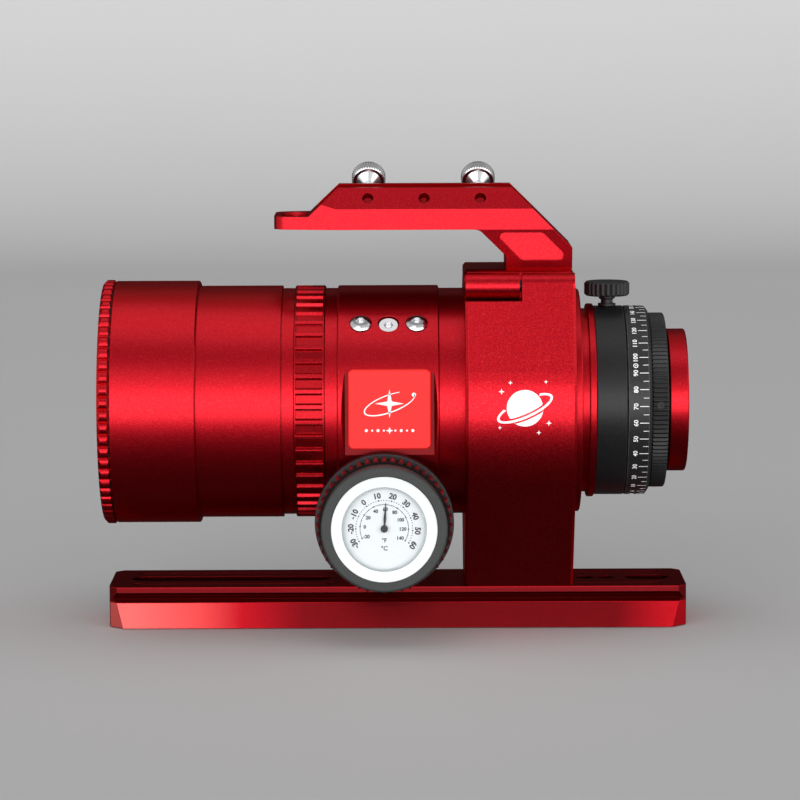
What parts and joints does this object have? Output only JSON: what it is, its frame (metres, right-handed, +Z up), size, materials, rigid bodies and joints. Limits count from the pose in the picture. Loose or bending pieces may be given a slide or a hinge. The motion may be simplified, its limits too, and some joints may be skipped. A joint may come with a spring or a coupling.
{
  "type": "compact refractor telescope",
  "caption": "Short red refracting telescope with dew shield and cap, rack-and-pinion focuser with dial thermometer, field rotator and a hinged ring with handle on a dovetail bar.",
  "frame": {"origin": "centre of the dovetail bar's bottom face", "axes": "+X along the bar from the front cap to the rear cap, parallel to the optical axis; +Z up from the bar to the handle; -Y is the side with the thermometer knob"},
  "size_m": [0.2156, 0.1295, 0.17],
  "materials": {
    "red_anodised": "satin anodised",
    "red_bead_blasted": "bead blasted and anodised",
    "black_anodised": "satin anodised",
    "grey_anodised": "matte anodised",
    "chrome_screw": "polished",
    "bright_steel": "turned",
    "bronze": "turned",
    "black_felt": "felt",
    "clear_plastic": "clear acrylic",
    "badge_red": "gloss enamel",
    "dial_white": "matte enamel",
    "needle_black": "matte",
    "instrument_glass": "clear",
    "optical_glass": "coated"
  },
  "bodies": {
    "main": {"dovetail_bar": "red_anodised", "bar_bolts": "chrome_screw", "ring_base": "red_bead_blasted", "hinge_pin": "black_anodised", "front_tube": "red_anodised", "front_collar": "red_anodised", "focuser_body": "red_anodised", "badge": "badge_red", "guide_screws": "chrome_screw", "preload_screw": "chrome_screw", "guide_pad": "bronze", "shaft_bushings": "bronze", "pinion_cover": "black_anodised", "pinion_cover_screws": "chrome_screw", "rear_tube": "red_anodised", "rear_baffle": "black_anodised", "rear_cell": "black_anodised", "rear_lens_a": "optical_glass", "rear_lens_b": "optical_glass", "rear_retainer": "black_anodised", "rear_flange": "red_anodised", "rotator_base": "black_anodised"},
    "shade": {"dew_shield": "red_anodised", "shield_felt": "black_felt"},
    "mask_cap": {"mask_holder": "black_anodised", "focus_mask": "clear_plastic"},
    "cover": {"cap_cover": "red_anodised"},
    "carriage": {"lens_carriage": "black_anodised", "focus_rack": "bright_steel", "rack_screws": "chrome_screw", "front_cell": "black_anodised", "lens_1": "optical_glass", "lens_spacer": "black_anodised", "lens_2": "optical_glass", "lens_retainer": "black_anodised"},
    "focus_drive": {"pinion_shaft": "bright_steel", "knob_rear_ring": "black_anodised", "focus_knob": "red_anodised", "knob_front_ring": "grey_anodised", "thermometer_case": "black_anodised", "thermometer_bezel": "dial_white", "thermometer_glass": "instrument_glass", "thermometer_dial": "dial_white", "bimetal_coil": "bronze", "coarse_knob": "red_anodised"},
    "needle": {"thermometer_needle": "needle_black"},
    "fine_drive": {"fine_knob": "black_anodised", "fine_shaft": "bright_steel"},
    "grip": {"lock_ring": "red_anodised"},
    "rotator": {"rotator_scale": "black_anodised", "camera_adapter": "black_anodised", "adapter_grub_screw": "black_anodised"},
    "rotator_lock": {"rotator_lock_screw": "black_anodised"},
    "camera_cap": {"rear_cap": "red_anodised"},
    "ring_top": {"ring_upper": "red_bead_blasted", "handle": "red_bead_blasted", "handle_screws": "chrome_screw"},
    "clamp": {"ring_clamp_screw": "black_anodised"},
    "finder_lock_1": {"finder_screw_1": "bright_steel"},
    "finder_lock_2": {"finder_screw_2": "bright_steel"}
  },
  "joints": [
    {"name": "shade_slide", "type": "slide", "parent": "main", "child": "shade", "axis": [1, 0, 0], "range_m": [0, 0.018]},
    {"name": "mask_cap_off", "type": "slide", "parent": "shade", "child": "mask_cap", "axis": [-1, 0, 0], "range_m": [0, 0.03]},
    {"name": "cover_off", "type": "slide", "parent": "mask_cap", "child": "cover", "axis": [-1, 0, 0], "range_m": [0, 0.025]},
    {"name": "focus_turn", "type": "hinge", "parent": "main", "child": "focus_drive", "pos_m": [-0.0047, 0, 0.043], "axis": [0, 1, 0], "range_deg": [-73, 73]},
    {"name": "lens_slide", "type": "slide", "parent": "main", "child": "carriage", "axis": [1, 0, 0], "range_m": [-0.006, 0.006]},
    {"name": "fine_turn", "type": "hinge", "parent": "main", "child": "fine_drive", "pos_m": [-0.0047, 0.06, 0.043], "axis": [0, 1, 0], "range_deg": [-735, 735]},
    {"name": "needle_turn", "type": "hinge", "parent": "focus_drive", "child": "needle", "pos_m": [-0.0047, -0.06, 0.043], "axis": [0, 1, 0], "range_deg": [-120, 117]},
    {"name": "lock_ring_turn", "type": "hinge", "parent": "main", "child": "grip", "pos_m": [-0.032, 0, 0.082], "axis": [1, 0, 0], "range_deg": [-45, 45]},
    {"name": "rotator_turn", "type": "hinge", "parent": "main", "child": "rotator", "pos_m": [0.08, 0, 0.082], "axis": [1, 0, 0], "continuous": true},
    {"name": "rotator_lock_turn", "type": "hinge", "parent": "main", "child": "rotator_lock", "pos_m": [0.0781, 0, 0.12], "axis": [0, 0, 1], "range_deg": [0, 180]},
    {"name": "camera_cap_off", "type": "slide", "parent": "rotator", "child": "camera_cap", "axis": [1, 0, 0], "range_m": [0, 0.025]},
    {"name": "ring_open", "type": "hinge", "parent": "main", "child": "ring_top", "pos_m": [0.0448, -0.033, 0.1276], "axis": [1, 0, 0], "range_deg": [0, 85]},
    {"name": "ring_clamp_turn", "type": "hinge", "parent": "ring_top", "child": "clamp", "pos_m": [0.0448, 0.04645, 0.0434], "axis": [0, 0.8101, 0.5863], "range_deg": [0, 180]},
    {"name": "finder_lock_1_turn", "type": "hinge", "parent": "ring_top", "child": "finder_lock_1", "pos_m": [-0.0104, 0.02561, 0.1636], "axis": [0, 0.866, 0.5], "range_deg": [0, 180]},
    {"name": "finder_lock_2_turn", "type": "hinge", "parent": "ring_top", "child": "finder_lock_2", "pos_m": [0.0308, 0.02561, 0.1636], "axis": [0, 0.866, 0.5], "range_deg": [0, 180]}
  ],
  "couplings": [
    {"joint": "focus_turn", "follows": "lens_slide", "rad_per_m": 208.33},
    {"joint": "fine_turn", "follows": "lens_slide", "rad_per_m": 2083.3}
  ]
}
